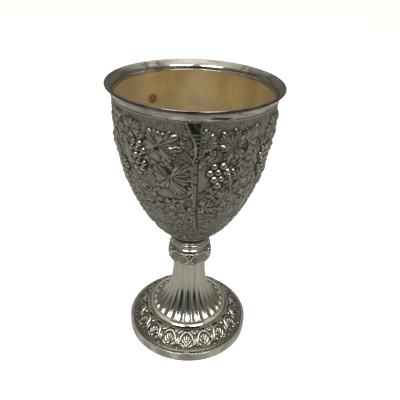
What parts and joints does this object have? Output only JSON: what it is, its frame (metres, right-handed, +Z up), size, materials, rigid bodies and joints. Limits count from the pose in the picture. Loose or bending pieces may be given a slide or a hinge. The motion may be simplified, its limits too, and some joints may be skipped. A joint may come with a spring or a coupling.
{
  "type": "ceremonial goblet",
  "caption": "Footed silver cup: embossed double-walled bowl with a gilt liner and flared lip, on a knop, a fluted trumpet stem and a round leaf-bordered foot.",
  "frame": {"origin": "centre of the ring that the foot stands on, at table height", "axes": "+Z up along the cup's axis of turning; -Y is the side that a viewer faces, with the front seam of the bowl's wall; +X to that viewer's right"},
  "size_m": [0.0846, 0.0846, 0.15],
  "materials": {
    "polished_silver": "polished silver, lightly tarnished",
    "embossed_silver": "embossed silver, darkened in the recesses",
    "gilt": "polished gilding",
    "brass": "dull",
    "steel": "plated"
  },
  "bodies": {
    "root": {"bowl_wall_left": "embossed_silver", "bowl_wall_right": "embossed_silver", "bowl_liner": "gilt", "lip_ring": "polished_silver", "bowl_seat": "polished_silver", "knop": "polished_silver", "stem": "polished_silver", "foot_ring": "polished_silver", "foot_plate": "embossed_silver", "foot_band": "polished_silver", "draw_rod": "brass", "bearing_plate": "brass", "lock_washer": "steel", "tie_nut": "brass"}
  },
  "joints": []
}
